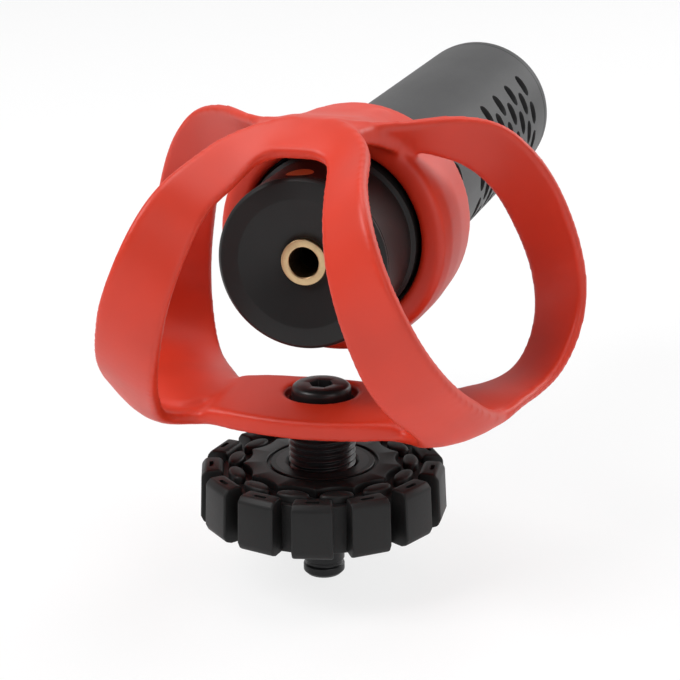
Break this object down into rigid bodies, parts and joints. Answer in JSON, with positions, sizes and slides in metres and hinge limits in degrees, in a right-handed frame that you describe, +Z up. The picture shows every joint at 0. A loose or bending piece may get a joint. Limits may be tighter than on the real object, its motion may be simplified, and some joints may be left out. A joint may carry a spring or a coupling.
{
  "type": "on-camera microphone",
  "caption": "Slim tube microphone held in a collar by looped elastic bands over a base plate, with a threaded post, a toothed locking wheel and a round foot stud.",
  "frame": {"origin": "centre of the foot stud's lower end", "axes": "+Z up along the post, +Y the way the microphone points, +X to the microphone's right"},
  "size_m": [0.0568, 0.1077, 0.0567],
  "materials": {
    "red_elastomer": "satin soft-touch elastomer",
    "black_rubber": "matte",
    "black_steel": "black oxide, satin",
    "wheel_plastic": "fine matte",
    "wheel_rubber": "matte with soft edges",
    "insert_brass": "machined",
    "barrel_paint": "satin charcoal",
    "rear_paint": "satin charcoal",
    "mark_orange": "matte inlay",
    "jack_brass": "plated, turned",
    "jack_plastic": "moulded",
    "contact_brass": "plated",
    "board_laminate": "solder mask",
    "can_aluminium": "drawn can",
    "mesh_steel": "fine woven mesh, blackened",
    "foam_fabric": "open-cell foam"
  },
  "bodies": {
    "mount": {"cradle": "red_elastomer", "mount_screw": "black_steel", "screw_washer": "black_steel", "threaded_post": "black_steel", "foot_stud": "black_steel"},
    "liner": {"collar_liner": "black_rubber"},
    "microphone": {"barrel_tube": "barrel_paint", "front_cap": "barrel_paint", "rear_cap": "rear_paint", "index_mark": "mark_orange", "cap_oring": "black_rubber", "jack_bushing": "jack_brass", "jack_nut": "jack_brass", "jack_body": "jack_plastic", "jack_sleeve_spring": "contact_brass", "jack_ring_spring": "contact_brass", "jack_tip_spring": "contact_brass", "circuit_board": "board_laminate", "board_rail_left": "jack_plastic", "board_rail_right": "jack_plastic", "preamp_chip": "jack_plastic", "filter_cap_a": "can_aluminium", "filter_cap_b": "can_aluminium", "output_relay": "jack_plastic", "capsule_holder": "jack_plastic", "capsule_boot": "black_rubber", "capsule": "can_aluminium", "capsule_lead_left": "contact_brass", "capsule_lead_right": "contact_brass", "acoustic_mesh": "mesh_steel", "foam_core": "foam_fabric", "foam_tube": "foam_fabric"},
    "pad": {"clamp_pad": "wheel_plastic"},
    "wheel": {"wheel_core": "wheel_plastic", "wheel_insert": "insert_brass", "wheel_tread": "wheel_rubber"}
  },
  "joints": [
    {"name": "wheel_lift", "type": "slide", "parent": "mount", "child": "pad", "axis": [0, 0, 1], "range_m": [0, 0.00551]},
    {"name": "wheel_turn", "type": "hinge", "parent": "pad", "child": "wheel", "pos_m": [0, 0, 0.0075], "axis": [0, 0, 1], "range_deg": [0, 2644.8]},
    {"name": "liner_turn", "type": "hinge", "parent": "mount", "child": "liner", "pos_m": [0, 0.011, 0.0406], "axis": [0, 1, 0], "continuous": true},
    {"name": "mic_slide", "type": "slide", "parent": "liner", "child": "microphone", "axis": [0, 1, 0], "range_m": [-0.0025, 0.01]}
  ],
  "couplings": [
    {"joint": "wheel_lift", "follows": "wheel_turn", "m_per_rad": 0.00011937}
  ]
}
